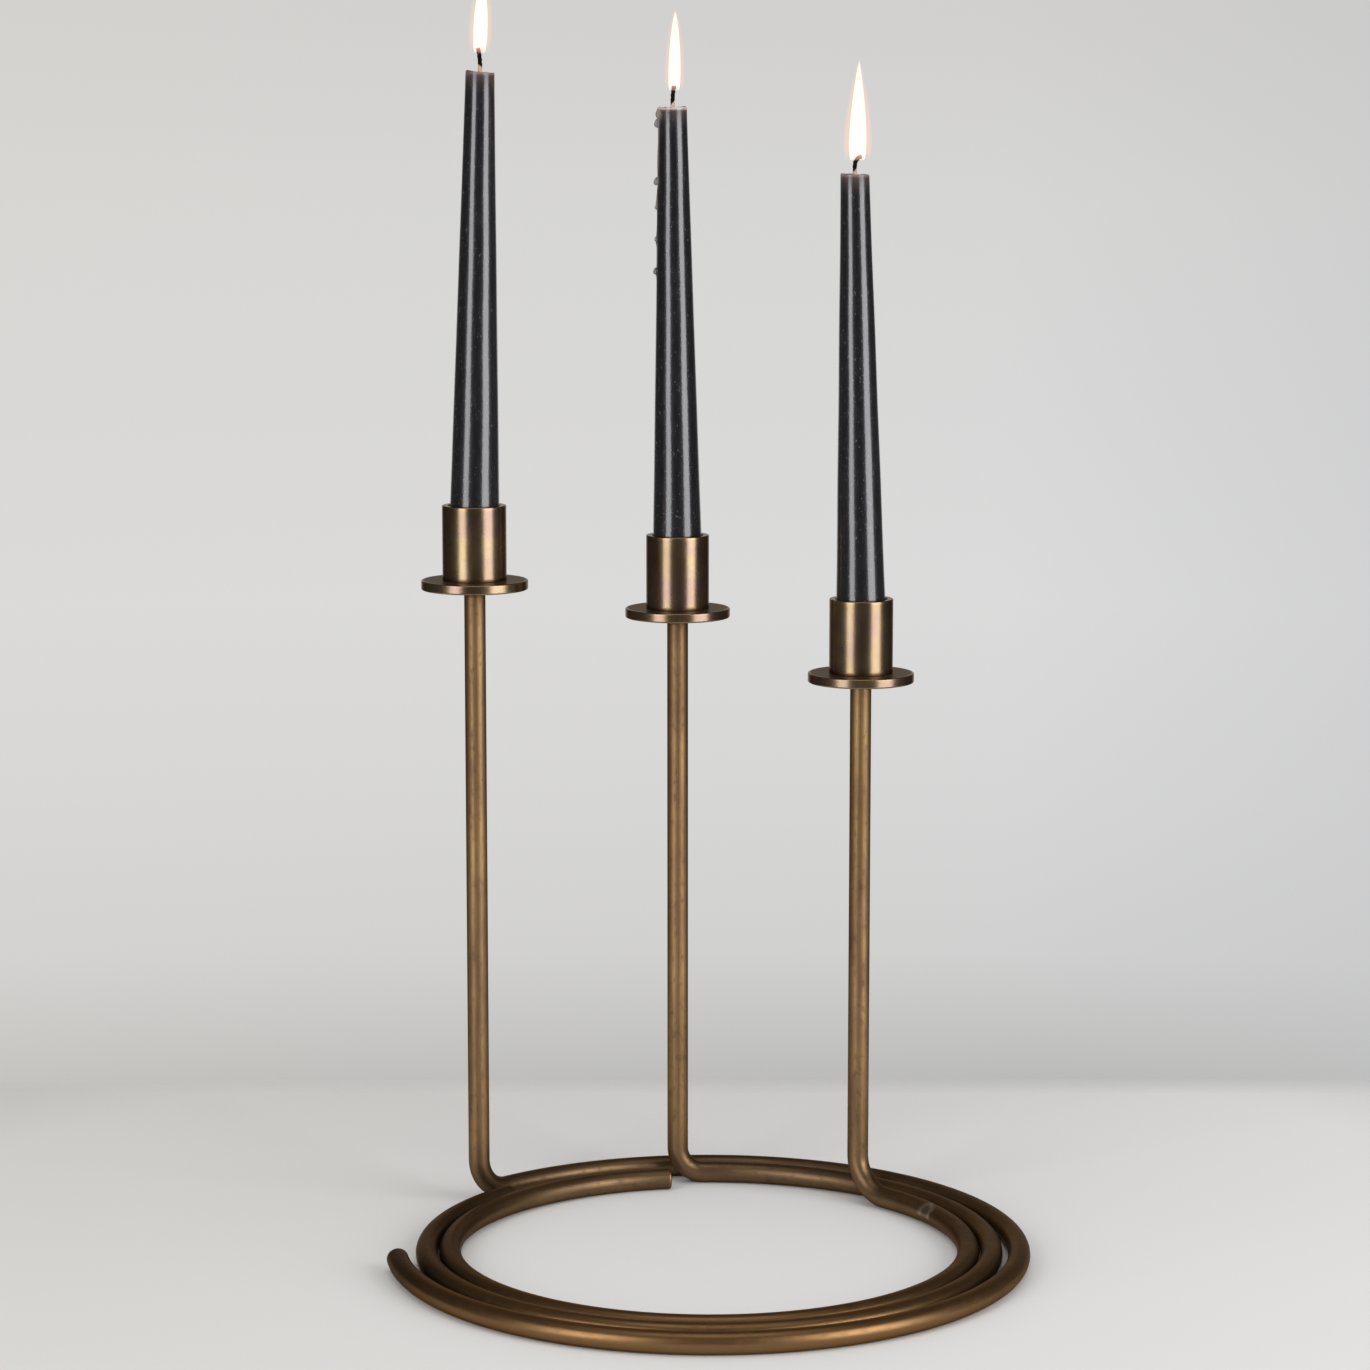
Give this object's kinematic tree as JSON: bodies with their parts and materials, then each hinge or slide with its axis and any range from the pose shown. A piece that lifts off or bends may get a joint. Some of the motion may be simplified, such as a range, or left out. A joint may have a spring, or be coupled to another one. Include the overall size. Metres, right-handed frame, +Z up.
{
  "type": "spiral candle holder",
  "caption": "Spiral candle holder of nested round-bar rings, each rising into a stem that carries a drip pan, a turned cup and a dark taper candle",
  "frame": {"origin": "common centre of the three rings, on the surface that they stand on", "axes": "+Z up along the stems, +X to the right of the picture, -Y towards its camera"},
  "size_m": [0.2915, 0.2991, 0.5461],
  "materials": {
    "antique_brass": "antique burnished",
    "screw_steel": "plain",
    "dark_wax": "satin wax",
    "wick_cotton": "charred braid"
  },
  "bodies": {
    "outer_holder": {"outer_arm": "antique_brass", "outer_drip_pan": "antique_brass", "outer_candle_cup": "antique_brass", "outer_cup_screw": "screw_steel"},
    "middle_holder": {"middle_arm": "antique_brass", "middle_drip_pan": "antique_brass", "middle_candle_cup": "antique_brass", "middle_cup_screw": "screw_steel"},
    "inner_holder": {"inner_arm": "antique_brass", "inner_drip_pan": "antique_brass", "inner_candle_cup": "antique_brass", "inner_cup_screw": "screw_steel"},
    "outer_taper": {"outer_candle": "dark_wax", "outer_wick": "wick_cotton"},
    "middle_taper": {"middle_candle": "dark_wax", "middle_wick": "wick_cotton"},
    "inner_taper": {"inner_candle": "dark_wax", "inner_wick": "wick_cotton"}
  },
  "joints": [
    {"name": "middle_holder_swing", "type": "hinge", "parent": "outer_holder", "child": "middle_holder", "pos_m": [0, 0, 0], "axis": [0, 0, 1], "range_deg": [-76, 22]},
    {"name": "inner_holder_swing", "type": "hinge", "parent": "middle_holder", "child": "inner_holder", "pos_m": [0, 0, 0], "axis": [0, 0, 1], "range_deg": [-76, 22]},
    {"name": "outer_candle_lift", "type": "slide", "parent": "outer_holder", "child": "outer_taper", "axis": [0, 0, 1], "range_m": [0, 0.045]},
    {"name": "middle_candle_lift", "type": "slide", "parent": "middle_holder", "child": "middle_taper", "axis": [0, 0, 1], "range_m": [0, 0.045]},
    {"name": "inner_candle_lift", "type": "slide", "parent": "inner_holder", "child": "inner_taper", "axis": [0, 0, 1], "range_m": [0, 0.045]}
  ]
}
